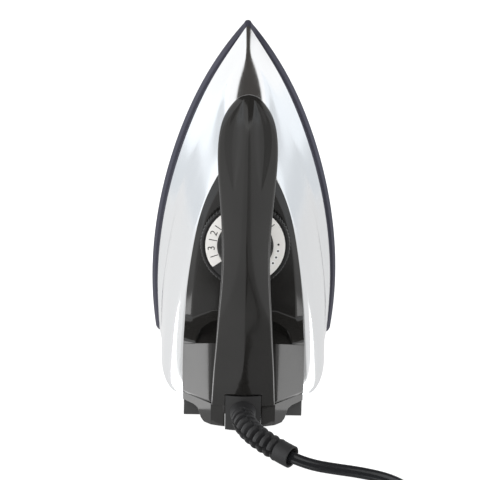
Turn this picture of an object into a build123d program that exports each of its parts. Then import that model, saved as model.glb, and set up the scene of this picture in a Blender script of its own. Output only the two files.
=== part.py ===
from build123d import *
import math
import os

# A dry clothes iron, stored standing on its heel rest.
#
# Every piece is modelled in the ironing frame (millimetres): X across, Y from the heel plane to the
# tip, Z up from the ironing face. stand_up() then turns the finished piece into the stored frame,
# where the tip points up (+Z), the ironing face looks along +Y and the handle along -Y.

# ---------------------------------------------------------------- driving dimensions
HEIGHT = 116.0          # ironing face to the top of the handle
DIAL_Y = 99.7           # temperature dial's axis, from the heel plane
RIM_Z = 9.5             # top of the soleplate's rim, where the shell stands
CREASE_Z = 17.0         # crease between the shell's lower band and its flank
SHOULDER_Z = 38.0       # line where the shell's flank rolls over to its top
DECK_Z = 46.0           # shell's top, where the saddle sits
PLATEAU_Z = 50.0        # saddle's flat top, under the dial
SEAT_Z = 73.0           # top of the saddle's shoulders, where the handle's root sits
PARTING_Y = 13.6        # joint between the saddle and the rear cover
COLUMN_END_Y = 49.3     # front of the saddle's column, under the handle's root
SHELL_WALL = 1.2
WALL = 2.6              # moulded walls
GAP = 0.2               # clearance between mouldings

# Plans: the nose, then (half width, y) down the right flank, then the rear edge and its corner.
SOLE = dict(tip=214.4, nose=(2.1, 212.8), rear=29.0, corner=5.0,
            flank=[(21.9, 184.8), (40.1, 143.0), (50.4, 100.0), (53.2, 63.4), (51.2, 34.0)])
SHELL_FOOT = dict(tip=212.6, nose=(1.7, 210.9), rear=27.0, corner=5.0,
                  flank=[(20.9, 179.8), (37.8, 138.1), (47.5, 95.4), (50.0, 58.9), (48.5, 32.0)])
CREASE = dict(tip=202.5, nose=(1.7, 200.6), rear=20.0, corner=7.0,
              flank=[(19.9, 167.0), (33.9, 132.3), (43.3, 91.0), (47.2, 55.0), (46.6, 27.0)])
SHOULDER = dict(tip=178.0, nose=(8.0, 173.0), rear=7.0, corner=9.0,
                flank=[(15.0, 156.0), (24.8, 130.0), (35.6, 92.0), (41.6, 55.0), (44.6, 16.0)])
SADDLE_EDGE = dict(tip=166.5, nose=(4.6, 163.2), rear=7.0, corner=3.0,
                   flank=[(9.6, 150.0), (18.8, 131.0), (29.4, 92.0), (33.3, 56.0), (33.8, 10.0)])
PLATEAU = dict(tip=161.0, nose=(3.4, 158.0), rear=7.0, corner=3.0,
               flank=[(6.8, 146.0), (15.6, 128.0), (26.2, 92.0), (28.6, 56.0), (29.4, 10.0)])

# Dial
DIAL_RIM_R = 24.8
SCALE_OUTER_R = 21.9
SCALE_INNER_R = 15.4
DIAL_TOP_Z = 54.4
SERRATIONS = 72
HUB_R = 8.0
SPINDLE_R = 3.0
RUNNING = 0.06          # radial clearance of a turning shaft
THERMOSTAT_SCREW_X = 5.5
LEAF_TOP_Z = 26.8       # regulating leaf, pressed down by the spindle's tip

# Handle: y, half width, top z, crown height above the seam, underside z, squareness of the underside
HANDLE_STATIONS = [
    (13.6, 17.5, 76.4, 2.6, 73.0, 0.95),
    (22.0, 17.2, 80.0, 4.0, 73.0, 0.93),
    (34.0, 16.7, 85.5, 4.8, 73.0, 0.90),
    (47.0, 15.9, 91.4, 5.6, 74.4, 0.86),
    (60.0, 15.1, 96.4, 6.4, 77.6, 0.82),
    (75.0, 14.2, 101.2, 7.2, 80.8, 0.78),
    (92.0, 13.1, 105.6, 7.8, 83.6, 0.76),
    (110.0, 12.6, 109.3, 8.2, 86.0, 0.75),
    (128.0, 13.1, 112.2, 8.5, 88.6, 0.75),
    (146.0, 14.3, 114.5, 8.8, 91.6, 0.75),
    (162.0, 15.3, 115.7, 9.0, 95.0, 0.75),
    (176.0, 14.8, 116.0, 8.6, 98.6, 0.75),
    (187.7, 11.7, 115.1, 6.8, 102.4, 0.75),
    (194.1, 7.4, 113.4, 4.6, 105.8, 0.75),
    (197.2, 3.9, 111.8, 2.6, 108.2, 0.75),
]
CAP_WALL = 2.8
SEAM_GAP = 0.25
ROOT_HALF = 17.5        # handle root and shoulders' crest
PILLAR_FOOT = (148.0, 4.6, 9.0)      # y, half width and half length where it meets the saddle
PILLAR_HEAD = (175.0, 8.0, 11.0)     # the same inside the grip
PILLAR_HEAD_Z = 103.0

# Heel
BLOCK_HALF = 9.8        # cord inlet block, across
BLOCK_TOP_Y = 20.8
BLOCK_FACE_Z = 80.0
FOOT_INNER = 22.4
FOOT_OUTER = 33.2
HEEL_LOW_Z = 12.0       # the feet reach down nearly to the soleplate
COVER_BACK_Y = 0.8
HEEL_SLOPE = [(22.6, 12.0), (17.4, 17.6), (10.8, 24.0), (6.6, 30.0), (4.6, 37.0), (4.4, 46.0)]

# Fastenings
FRONT_STUD = (0.0, 150.0)
REAR_STUDS = [(-20.0, 34.0), (20.0, 34.0)]
STUD_R = 2.5
BOSS_R = 5.5
FRONT_STUD_TOP = 62.0
HANDLE_SCREWS = [(-8.0, 34.0), (8.0, 34.0)]
HANDLE_SCREW_R = 1.8
HANDLE_SCREW_TOP = 79.5
LEAD_R = 1.1
FUSE_R = 1.75           # the fuse lies on the heat shield, level with the contact spring
SHIELD_Z = 16.6
SHIELD_THICK = 0.8
COVER_SCREW_X = 15.5
COVER_SCREW_Z = 67.0

# Heating element: a sheathed tube cast into the soleplate's ridge
ELEMENT_R = 3.5
ELEMENT_Z = 8.8
ELEMENT_RISE = 24.0
ELEMENT_X = 15.0
ELEMENT_Y = 46.0
ELEMENT_PLAN = [(37.0, 60.0, 10.0), (35.5, 102.0, 40.0)]    # x, y and bend radius
ELEMENT_NOSE = (190.0, 7.0)                                  # y and bend radius
RIDGE_WIDTH = 12.0

# Mains cord, in the stored frame: a flat twin cord whose width is its diameter here
CORD_R = 3.1
BOOT_R = 6.2
COLLAR_DEPTH = 8.4
COLLAR_BORE_R = 4.9
BOOT_ROUTE = [(0.0, -22.0, 11.0), (0.0, -33.0, 11.0), (4.4, -44.6, 10.2), (11.4, -54.3, 8.8),
              (19.4, -62.4, 7.4)]
CORD_ROUTE = [(19.4, -62.4, 7.4), (26.8, -69.1, 6.2), (36.8, -73.8, 4.7), (48.2, -75.4, 3.5),
              (60.0, -78.0, 3.1), (71.8, -83.4, 3.1), (79.1, -89.5, 3.1), (84.3, -97.5, 3.1),
              (86.9, -106.6, 3.1), (88.0, -117.3, 3.1), (88.0, -131.7, 3.1)]
COIL_TURN_R = 43.6      # centre line of the outer turn
COIL_TURNS_ACROSS = 4
COIL_LAYERS = 2
COIL_CENTRE = (CORD_ROUTE[-1][0] - COIL_TURN_R, -156.7)
PLUG_START_X = 18.0
PLUG_NECK_X = 0.0
PLUG_FACE_X = -24.0
PLUG_HALF = (12.0, 7.5)     # half width and half thickness of the plug's body
BLADE_PITCH = 12.7
BLADE_SIZE = (17.0, 1.5, 6.3)

MADE = []


# ---------------------------------------------------------------- helpers
def stand_up(shape):
    """Ironing frame to the stored frame: tip up, centred between handle and ironing face."""
    return Pos(0, HEIGHT / 2, 0) * Rot(90, 0, 0) * shape


def write(node, *solids, standing=True):
    """Write one sub-part; several solids make a group of separate pieces in one node."""
    pieces = [stand_up(s) if standing else s for s in solids]
    flat = [solid for piece in pieces for solid in piece.solids()]
    shape = flat[0] if len(flat) == 1 else Compound(children=flat)
    export_step(shape, f"parts/{node}.step")
    MADE.append(node)


def box(x0, x1, y0, y1, z0, z1):
    """A box from its corners."""
    centre = Pos((x0 + x1) / 2, (y0 + y1) / 2, (z0 + z1) / 2)
    return centre * Box(abs(x1 - x0), abs(y1 - y0), abs(z1 - z0))


def rod(x, y, z0, z1, radius):
    """An upright cylinder."""
    return Pos(x, y, (z0 + z1) / 2) * Cylinder(radius, z1 - z0)


def rod_y(x, z, y0, y1, radius):
    """A cylinder along Y."""
    return Pos(x, (y0 + y1) / 2, z) * Rot(90, 0, 0) * Cylinder(radius, y1 - y0)


def plan_face(plan, z, inset=0.0):
    """A shield-shaped face at height z: round nose, curved flanks, straight rear edge."""
    nose_x, nose_y = plan["nose"]
    tip = plan["tip"] - 2.2 * inset
    nose = (nose_x, nose_y - 2.2 * inset)
    flank = [(x - inset, y - 0.5 * inset) for x, y in plan["flank"]]
    rear = plan["rear"] + inset
    corner = max(plan["corner"] - inset, 1.0)
    side = flank[-1][0]
    flank[-1] = (side, rear + corner)
    bend = corner * (1 - math.sqrt(0.5))
    mirrored = [(-x, y) for x, y in flank]
    edges = [
        ThreePointArc((-nose[0], nose[1]), (0, tip), nose),
        Spline(nose, *flank),
        ThreePointArc(flank[-1], (side - bend, rear + bend), (side - corner, rear)),
        Line((side - corner, rear), (corner - side, rear)),
        ThreePointArc((corner - side, rear), (bend - side, rear + bend), mirrored[-1]),
        Spline(*reversed(mirrored), (-nose[0], nose[1])),
    ]
    return Pos(0, 0, z) * make_face(edges)


def prism(plan, z0, z1, inset=0.0):
    """A plan extruded from z0 to z1."""
    return extrude(plan_face(plan, z0, inset), z1 - z0)


def across(points, half_width):
    """A side profile (y, z) made into a prism across X."""
    plane = Plane(origin=(-half_width, 0, 0), x_dir=(0, 1, 0), z_dir=(1, 0, 0))
    return extrude(plane * make_face(Polyline(*points, close=True)), 2 * half_width)


def along(points, y0, y1):
    """A cross-section (x, z) made into a prism along Y."""
    plane = Plane(origin=(0, y1, 0), x_dir=(1, 0, 0), z_dir=(0, -1, 0))
    return extrude(plane * make_face(Polyline(*points, close=True)), y1 - y0)


def both_sides(points):
    """The right half of an outline (x, z), mirrored to the left."""
    return points + [(-x, z) for x, z in reversed(points)]


def corner_radii(points, share=0.45):
    """For each corner of a route: this share of the shorter run over the tangent of half the turn."""
    radii = []
    for before, here, after in zip(points, points[1:], points[2:]):
        run_in = Vector(*here) - Vector(*before)
        run_out = Vector(*after) - Vector(*here)
        half_turn = math.radians(run_in.get_angle(run_out)) / 2
        radii.append(share * min(run_in.length, run_out.length) / math.tan(half_turn))
    return radii


def tube(points, radius, radii=None):
    """A round tube along straight runs joined by tangent arcs."""
    path = FilletPolyline(*points, radius=radii or corner_radii(points))
    start = Plane(origin=path @ 0, z_dir=path % 0)
    return sweep(start * Circle(radius), path=path), path.length


# ---------------------------------------------------------------- soleplate and heating
def element_route():
    nose_y, nose_bend = ELEMENT_NOSE
    (x1, y1, bend1), (x2, y2, bend2) = ELEMENT_PLAN
    right = [(ELEMENT_X, ELEMENT_Y), (x1, y1), (x2, y2)]
    plan = right + [(0.0, nose_y)] + [(-x, y) for x, y in reversed(right)]
    bends = [bend1, bend2, nose_bend, bend2, bend1]
    return plan, bends


def heating_element():
    plan, bends = element_route()
    points = [(ELEMENT_X, ELEMENT_Y, ELEMENT_RISE)]
    points += [(x, y, ELEMENT_Z) for x, y in plan]
    points += [(-ELEMENT_X, ELEMENT_Y, ELEMENT_RISE)]
    sheath, _ = tube(points, ELEMENT_R, [6.0] + bends + [6.0])
    return sheath


def soleplate(sheath):
    base = loft([plan_face(SOLE, 0, 1.0), plan_face(SOLE, 1.2)], ruled=True) + prism(SOLE, 1.2, 3.2)
    lip = loft([plan_face(SOLE, 3.2), plan_face(SOLE, 4.8, 1.6)], ruled=True)
    rim = prism(SOLE, 4.8, RIM_Z, 2.8) - prism(SOLE, 4.8, RIM_Z + 1, 6.6)
    plan, bends = element_route()
    centre_line = FilletPolyline(*plan, radius=bends)
    ridge = Pos(0, 0, 4.8) * extrude(trace(centre_line, RIDGE_WIDTH), ELEMENT_Z + 4.4 - 4.8)
    plate = base + lip + rim + ridge
    for x, y in [FRONT_STUD] + REAR_STUDS:
        plate += rod(x, y, 4.0, SHIELD_Z, BOSS_R)
    plate += rod(0, DIAL_Y, 4.0, 8.0, 18.0)
    for x, y in [FRONT_STUD] + REAR_STUDS:
        plate -= rod(x, y, 6.0, SHIELD_Z, STUD_R)
    for x in (-THERMOSTAT_SCREW_X, THERMOSTAT_SCREW_X):
        plate -= rod(x, DIAL_Y, 5.2, 8.0, 1.5)
    return plate - sheath


def heat_shield():
    sheet = prism(CREASE, SHIELD_Z, SHIELD_Z + SHIELD_THICK, 4.5)
    cutter = rod(0, DIAL_Y, SHIELD_Z - 1, SHIELD_Z + 2, 22.0)
    for side in (-1, 1):
        cutter += rod(side * ELEMENT_X, ELEMENT_Y, SHIELD_Z - 1, SHIELD_Z + 2, 5.5)
    for x, y in [FRONT_STUD] + REAR_STUDS:
        cutter += rod(x, y, SHIELD_Z - 1, SHIELD_Z + 2, STUD_R + 0.2)
    return sheet - cutter


# ---------------------------------------------------------------- shell and saddle
def shell():
    outer = loft([plan_face(SHELL_FOOT, RIM_Z), plan_face(CREASE, CREASE_Z)], ruled=True)
    outer += loft([plan_face(CREASE, CREASE_Z), plan_face(SHOULDER, SHOULDER_Z),
                   plan_face(SADDLE_EDGE, DECK_Z)], ruled=True)
    inner = loft([plan_face(SHELL_FOOT, RIM_Z, SHELL_WALL),
                  plan_face(CREASE, CREASE_Z, SHELL_WALL)], ruled=True)
    inner += loft([plan_face(CREASE, CREASE_Z, SHELL_WALL),
                   plan_face(SHOULDER, SHOULDER_Z - 0.6, SHELL_WALL),
                   plan_face(SADDLE_EDGE, DECK_Z - SHELL_WALL, SHELL_WALL)], ruled=True)
    cover = outer - inner
    cover -= rod(0, DIAL_Y, DECK_Z - 3, DECK_Z + 1, 20.0)
    cover -= box(-10, 10, 38, 68, DECK_Z - 3, DECK_Z + 1)
    for x, y in [FRONT_STUD] + REAR_STUDS:
        cover -= rod(x, y, DECK_Z - 3, DECK_Z + 1, STUD_R + 0.2)
    return cover


SHOULDER_SECTION = both_sides([(33.6, DECK_Z), (33.6, 57.2), (ROOT_HALF + 0.2, SEAT_Z)])
CAVITY_SECTION = both_sides([(31.0, DECK_Z - 1), (31.0, 56.2), (16.4, SEAT_Z - WALL)])


def saddle():
    deck = loft([plan_face(SADDLE_EDGE, DECK_Z), plan_face(PLATEAU, PLATEAU_Z)], ruled=True)
    deck &= box(-60, 60, PARTING_Y, 220, DECK_Z, PLATEAU_Z)
    ramp = [(40, DECK_Z), (62, DECK_Z), (60, PLATEAU_Z), (52, 57), (49.9, 65), (COLUMN_END_Y, SEAT_Z),
            (40, SEAT_Z)]
    body = deck + along(SHOULDER_SECTION, PARTING_Y, COLUMN_END_Y)
    body += along(SHOULDER_SECTION, 40.0, 62.0) & across(ramp, 40)
    body -= along(CAVITY_SECTION, PARTING_Y - 1, COLUMN_END_Y - WALL)
    for side in (-1, 1):
        body += rod_y(side * COVER_SCREW_X, COVER_SCREW_Z, PARTING_Y, 27.0, 3.6)
        body -= rod_y(side * COVER_SCREW_X, COVER_SCREW_Z, PARTING_Y - 1, 24.0, 1.5)
        body -= rod(side * 8.0, 34.0, SEAT_Z - 5, SEAT_Z + 1, 2.2)
    body -= rod(0, DIAL_Y, DECK_Z - 1, PLATEAU_Z + 1, HUB_R + 0.4)
    body -= rod(*FRONT_STUD, DECK_Z - 1, PLATEAU_Z + 1, STUD_R + 0.2)
    body -= box(-BLOCK_HALF - GAP, BLOCK_HALF + GAP, 0, BLOCK_TOP_Y + GAP, 57.8, SEAT_Z + 1)
    return body


# ---------------------------------------------------------------- thermostat and dial
def thermostat():
    y0 = DIAL_Y - 14.0
    y1 = DIAL_Y + 14.0
    top = 37.2
    frame = box(-8, 8, y0, y1, 8.0, 9.2) + box(-8, 8, y0, y0 + 1.2, 8.0, top)
    frame += box(-8, 8, y1 - 1.2, y1, 8.0, top) + box(-8, 8, y0, y1, top - 1.2, top)
    frame -= rod(0, DIAL_Y, top - 2, top + 1, 5.0)
    frame -= box(-4.6, 4.6, y0 - 1, y0 + 2, 14.0, 30.0)
    for x in (-THERMOSTAT_SCREW_X, THERMOSTAT_SCREW_X):
        frame -= rod(x, DIAL_Y, 7.5, 9.5, 1.5)
    write("thermostat_frame", frame)
    write("thermostat_screws", *[rod(x, DIAL_Y, 5.2, 9.2, 1.5) + rod(x, DIAL_Y, 9.2, 10.6, 2.3)
                                 for x in (-THERMOSTAT_SCREW_X, THERMOSTAT_SCREW_X)])
    stack_near = DIAL_Y + 5.3
    stack_far = DIAL_Y + 11.7
    back = DIAL_Y - 18.0
    write("ceramic_stack", *[box(-3.2, 3.2, stack_near, stack_far, low, high)
                             for low, high in ((9.2, 14.0), (14.6, 18.9), (19.4, 22.9), (23.4, 27.6))])
    write("bimetal_strip", box(-3, 3, DIAL_Y - 12, stack_far, 14.0, 14.6))
    write("contact_spring", box(-3, 3, back, stack_far, 18.9, 19.4) + rod(0, DIAL_Y - 8, 19.4, 21.1, 1.8))
    write("fixed_contact_blade", box(-3, 3, back, stack_far, 22.9, 23.4)
          + rod(0, DIAL_Y - 8, 21.2, 22.9, 1.8))
    bush = rod(0, DIAL_Y, top - 3.6, top - 1.2, 6.5) + rod(0, DIAL_Y, top - 1.2, top + 3, 5.0)
    write("spindle_bush", bush - rod(0, DIAL_Y, top - 5, top + 4, SPINDLE_R + RUNNING))
    flat = box(-5, 5, DIAL_Y + 2.0, DIAL_Y + 5, 45.0, 54.0)
    spindle = rod(0, DIAL_Y, LEAF_TOP_Z + 2.2, 51.2, SPINDLE_R) - flat
    write("dial_spindle", spindle + rod(0, DIAL_Y, LEAF_TOP_Z + 0.2, LEAF_TOP_Z + 2.2, 1.0))
    write("regulating_leaf", box(-2.6, 2.6, DIAL_Y - 6.0, stack_near - 0.1, LEAF_TOP_Z - 0.5, LEAF_TOP_Z))


def dial():
    body = rod(0, DIAL_Y, PLATEAU_Z + 0.9, DIAL_TOP_Z, DIAL_RIM_R)
    notch = Pos(0, DIAL_Y, 0) * PolarLocations(DIAL_RIM_R + 0.25, SERRATIONS)
    body -= [place * Pos(0, 0, (PLATEAU_Z + DIAL_TOP_Z) / 2) * Cylinder(0.7, 8) for place in notch]
    body += rod(0, DIAL_Y, DECK_Z + 0.4, PLATEAU_Z + 0.9, HUB_R)
    bore = rod(0, DIAL_Y, DECK_Z, 52.4, SPINDLE_R + RUNNING)
    bore -= box(-5, 5, DIAL_Y + 2.0 + RUNNING, DIAL_Y + 5, DECK_Z - 1, 54.0)
    write("temperature_dial", body - bore)
    ring = rod(0, DIAL_Y, DIAL_TOP_Z, DIAL_TOP_Z + 0.5, SCALE_OUTER_R)
    ring -= rod(0, DIAL_Y, DIAL_TOP_Z - 1, DIAL_TOP_Z + 1, SCALE_INNER_R)
    gap = make_face(Polyline((0, 0), (-40, -28), (-10, -50), close=True))
    ring -= Pos(0, DIAL_Y, DIAL_TOP_Z - 1) * extrude(gap, 3)
    write("dial_scale_ring", ring)
    cap = rod(0, DIAL_Y, DIAL_TOP_Z, DIAL_TOP_Z + 1.4, SCALE_INNER_R - 0.3)
    write("dial_cap", chamfer(cap.edges().group_by(Axis.Z)[-1], 0.8))
    washer = rod(0, DIAL_Y, PLATEAU_Z, PLATEAU_Z + 0.8, 12.0) - rod(0, DIAL_Y, 49, 52, 9.4)
    write("dial_felt_washer", washer)


# ---------------------------------------------------------------- handle
def station_faces(y, half, top, crown, bottom, square):
    """The handle's upper crescent and its lower section at one station."""
    plane = Plane(origin=(0, y, 0), x_dir=(1, 0, 0), z_dir=(0, -1, 0))
    seam = top - crown
    drop = seam - bottom
    inner_half = half - min(CAP_WALL, 0.3 * half)
    inner_top = top - min(CAP_WALL, 0.45 * crown)
    upper = make_face([
        ThreePointArc((half, seam), (0, top), (-half, seam)),
        Line((-half, seam), (-inner_half, seam)),
        ThreePointArc((-inner_half, seam), (0, inner_top), (inner_half, seam)),
        Line((inner_half, seam), (half, seam)),
    ])
    low = (half * square, seam - drop * square)
    rest = seam - SEAM_GAP
    lower = make_face([
        Spline((half, rest), low, (0, bottom), (-low[0], low[1]), (-half, rest)),
        Line((-half, rest), (half, rest)),
    ])
    return plane * upper, plane * lower


def handle():
    faces = [station_faces(*station) for station in HANDLE_STATIONS]
    notch = box(-BLOCK_HALF - GAP, BLOCK_HALF + GAP, 0, BLOCK_TOP_Y + GAP, 57, 90)
    upper = loft([upper_face for upper_face, _ in faces]) - notch
    lower = loft([lower_face for _, lower_face in faces]) - notch
    channel = [(y, half - 3.0, top, crown - 0.5, bottom + 3.0, square)
               for y, half, top, crown, bottom, square in HANDLE_STATIONS if 60 < y < 190]
    lower -= loft([station_faces(*station)[1] for station in channel])
    foot_y, foot_half, foot_length = PILLAR_FOOT
    head_y, head_half, head_length = PILLAR_HEAD
    foot = Pos(0, foot_y, PLATEAU_Z) * make_face(Ellipse(foot_half, foot_length).edges())
    head = Pos(0, head_y, PILLAR_HEAD_Z) * make_face(Ellipse(head_half, head_length).edges())
    lower += loft([foot, head])
    lower -= box(-40, 40, 0, 52, 40, SEAT_Z)
    lower -= rod(*FRONT_STUD, PLATEAU_Z - 1, FRONT_STUD_TOP, STUD_R)
    for x, y in HANDLE_SCREWS:
        lower -= rod(x, y, SEAT_Z - 1, HANDLE_SCREW_TOP, HANDLE_SCREW_R)
    return upper, lower


# ---------------------------------------------------------------- heel
def crown_prism(y0, y1):
    """The handle's crown over its root, carried on over the rear cover."""
    plane = Plane(origin=(0, y1, 0), x_dir=(1, 0, 0), z_dir=(0, -1, 0))
    arc = ThreePointArc((ROOT_HALF, SEAT_Z), (0, 76.4), (-ROOT_HALF, SEAT_Z))
    chord = Line((-ROOT_HALF, SEAT_Z), (ROOT_HALF, SEAT_Z))
    return extrude(plane * make_face([arc, chord]), y1 - y0)


def rear_cover_outline():
    """Plan (x, y) of the cover: full width at the joint, cut away over the feet."""
    right = [(33.6, PARTING_Y), (33.6, 9.2), (27.4, 8.8), (25.4, 7.8), (24.4, 5.4), (23.4, 2.6),
             (21.6, COVER_BACK_Y)]
    return make_face(Polyline(*right, *[(-x, y) for x, y in reversed(right)], close=True))


def rear_cover():
    body = along(SHOULDER_SECTION, 0, PARTING_Y) + crown_prism(0, PARTING_Y)
    body &= Pos(0, 0, DECK_Z) * extrude(rear_cover_outline(), 40)
    inner = both_sides([(30.8, DECK_Z + WALL), (30.8, 56.0), (16.2, SEAT_Z - WALL)])
    hollow = both_sides([(18.6, DECK_Z + WALL), (18.6, 68.2), (16.2, SEAT_Z - WALL)])
    body -= along(inner, 11.0, PARTING_Y + 1) + along(hollow, COVER_BACK_Y + WALL, PARTING_Y + 1)
    wedge = across([(COVER_BACK_Y, HEEL_LOW_Z)] + HEEL_SLOPE + [(COVER_BACK_Y, DECK_Z)], 21.6)
    pocket = across([(COVER_BACK_Y + WALL, HEEL_LOW_Z + WALL), (30.0, HEEL_LOW_Z + WALL), (30.0, 36.0),
                     (COVER_BACK_Y + WALL, 36.0)], 19.0)
    body += wedge - pocket
    body -= box(-BLOCK_HALF - GAP, BLOCK_HALF + GAP, -1, PARTING_Y + 1, 57.8, 90)
    for side in (-1, 1):
        x = side * COVER_SCREW_X
        body += rod_y(x, COVER_SCREW_Z, COVER_BACK_Y, PARTING_Y, 3.6)
        body -= rod_y(x, COVER_SCREW_Z, 0, COVER_BACK_Y + WALL, 3.3)
        body -= rod_y(x, COVER_SCREW_Z, 0, PARTING_Y + 1, 1.7)
    return body


def heel_feet():
    profile = [(0, HEEL_LOW_Z)] + HEEL_SLOPE + [(9.3, DECK_Z), (9.3, 58.0), (0, 58.0)]
    feet = []
    for side in (-1, 1):
        centre = side * (FOOT_INNER + FOOT_OUTER) / 2
        fin = Pos(centre, 0, 0) * across(profile, (FOOT_OUTER - FOOT_INNER) / 2)
        fin -= Pos(0, 0, DECK_Z) * extrude(rear_cover_outline(), 40)
        feet.append(fin)
    return feet


def cord_inlet_block():
    section = make_face([Line((BLOCK_HALF, 58), (BLOCK_HALF, BLOCK_FACE_Z - 1.6)),
                         ThreePointArc((BLOCK_HALF, BLOCK_FACE_Z - 1.6), (0, BLOCK_FACE_Z),
                                       (-BLOCK_HALF, BLOCK_FACE_Z - 1.6)),
                         Line((-BLOCK_HALF, BLOCK_FACE_Z - 1.6), (-BLOCK_HALF, 58)),
                         Line((-BLOCK_HALF, 58), (BLOCK_HALF, 58))])
    plane = Plane(origin=(0, BLOCK_TOP_Y, 0), x_dir=(1, 0, 0), z_dir=(0, -1, 0))
    block = extrude(plane * section, BLOCK_TOP_Y - 0.5)
    block += box(-12.5, 12.5, 4.0, 18.0, 55.0, 58.0)
    collar = Pos(0, BOOT_ROUTE[0][2], 0) * Cylinder(BOOT_R + 0.9, 4)
    return block + Pos(0, 0, BLOCK_FACE_Z - 2) * collar


# ---------------------------------------------------------------- wiring
def wiring():
    block = box(-13, 13, 21.5, 33.0, DECK_Z, 56.0)
    screws = [rod(x, 27.2, 51.0, 57.2, 2.0) for x in (-8, 0, 8)]
    write("terminal_block", block - screws)
    write("terminal_screws", *screws)
    write("mains_cores", *[tube([(x, 11, 55), (x, 11, 50.6), (x, 21.5, 50.6)], 1.3, [3.0])[0]
                           for x in (-3.2, 3.2)])
    pin_top = ELEMENT_RISE + 7
    ends = [(side * ELEMENT_X, ELEMENT_Y) for side in (-1, 1)]
    write("element_seals", *[rod(x, y, ELEMENT_RISE, ELEMENT_RISE + 2.5, ELEMENT_R - 0.3) for x, y in ends])
    write("element_pins", *[rod(x, y, ELEMENT_RISE + 2.5, pin_top, 1.1) for x, y in ends])
    live_z = 23.15
    link_z = SHIELD_Z + SHIELD_THICK + FUSE_R
    back = DIAL_Y - 18.0
    drop_y = 41.4
    live = [(-6, 33, 51), (-6, drop_y, 51), (-6, drop_y, 31), (-1.6, 60, live_z), (-1.6, back, live_z)]
    write("lead_live", tube(live, LEAD_R, [3.5, 5.0, 8.0])[0])
    neutral = [(6, 33, 51), (6, drop_y, 51), (6, drop_y, 40), (ELEMENT_X, ELEMENT_Y, 39),
               (ELEMENT_X, ELEMENT_Y, pin_top)]
    write("lead_neutral", tube(neutral, LEAD_R, [3.5, 3.5, 3.5])[0])
    fuse_y = 72.0
    write("thermal_fuse", Pos(-11.5, fuse_y, link_z) * Rot(0, 90, 0) * Cylinder(FUSE_R, 11))
    to_fuse = [(-ELEMENT_X, ELEMENT_Y, pin_top), (-ELEMENT_X, ELEMENT_Y, 38), (-27, 57, 30),
               (-27, fuse_y, link_z), (-17, fuse_y, link_z)]
    write("lead_fuse", tube(to_fuse, LEAD_R, [3.5, 5.0, 4.0])[0])
    link = [(-6, fuse_y, link_z), (1.6, fuse_y, link_z), (1.6, back, link_z)]
    write("lead_link", tube(link, LEAD_R, [4.0])[0])


# ---------------------------------------------------------------- cord
def cord():
    start = Vector(*CORD_ROUTE[0])
    direction = (Vector(*CORD_ROUTE[1]) - start).normalized()
    collar_end = start + direction * COLLAR_DEPTH
    route = BOOT_ROUTE + [(collar_end.X, collar_end.Y, collar_end.Z)]
    boot, _ = tube(route, BOOT_R)
    recess = Plane(origin=start + direction * (COLLAR_DEPTH / 2 + 1), z_dir=direction)
    boot -= recess * Cylinder(COLLAR_BORE_R, COLLAR_DEPTH + 2)
    write("cord_boot", boot, standing=False)
    lead, length = tube(CORD_ROUTE, CORD_R)
    section = math.pi * CORD_R ** 2
    print("cord radii", [round(radius, 1) for radius in corner_radii(CORD_ROUTE)])
    print("cord length", round(length, 1), "volume ratio", round(lead.volume / (section * length), 4))
    write("power_cord", lead, standing=False)
    cx, cy = COIL_CENTRE
    diameter = 2 * CORD_R
    inner = COIL_TURN_R - (COIL_TURNS_ACROSS - 0.5) * diameter
    outer = COIL_TURN_R + CORD_R
    high = COIL_LAYERS * diameter
    ring = rod(cx, cy, 0, high, outer) - rod(cx, cy, -1, high + 1, inner)
    end_x, end_y, _ = CORD_ROUTE[-1]
    ring += box(end_x - CORD_R, end_x + CORD_R, cy, end_y, 0, diameter)
    tail_y = cy - COIL_TURN_R
    ring += box(PLUG_START_X, cx, tail_y - CORD_R, tail_y + CORD_R, high - diameter, high)
    write("cord_coil", ring, standing=False)
    half_width, half_high = PLUG_HALF
    face = Plane(origin=(PLUG_START_X, tail_y, high - CORD_R), x_dir=(0, 1, 0), z_dir=(-1, 0, 0))
    neck = Plane(origin=(PLUG_NECK_X, tail_y, half_high), x_dir=(0, 1, 0), z_dir=(-1, 0, 0))
    relief = loft([face * Circle(CORD_R + 1.2), neck * Circle(half_high - 1.0)])
    body = box(PLUG_FACE_X, PLUG_NECK_X, tail_y - half_width, tail_y + half_width, 0, 2 * half_high)
    body = fillet(body.edges().filter_by(Axis.Z), 5.0)
    body = fillet(body.edges().group_by(Axis.Z)[-1], 2.0)
    body = fillet(body.edges().group_by(Axis.Z)[0], 2.0)
    write("plug_body", body + relief, standing=False)
    blade_long, blade_thick, blade_wide = BLADE_SIZE
    blades = [box(PLUG_FACE_X - blade_long, PLUG_FACE_X, tail_y + side * BLADE_PITCH / 2 - blade_thick / 2,
                  tail_y + side * BLADE_PITCH / 2 + blade_thick / 2, half_high - blade_wide / 2,
                  half_high + blade_wide / 2) for side in (-1, 1)]
    write("plug_blades", *blades, standing=False)


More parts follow.
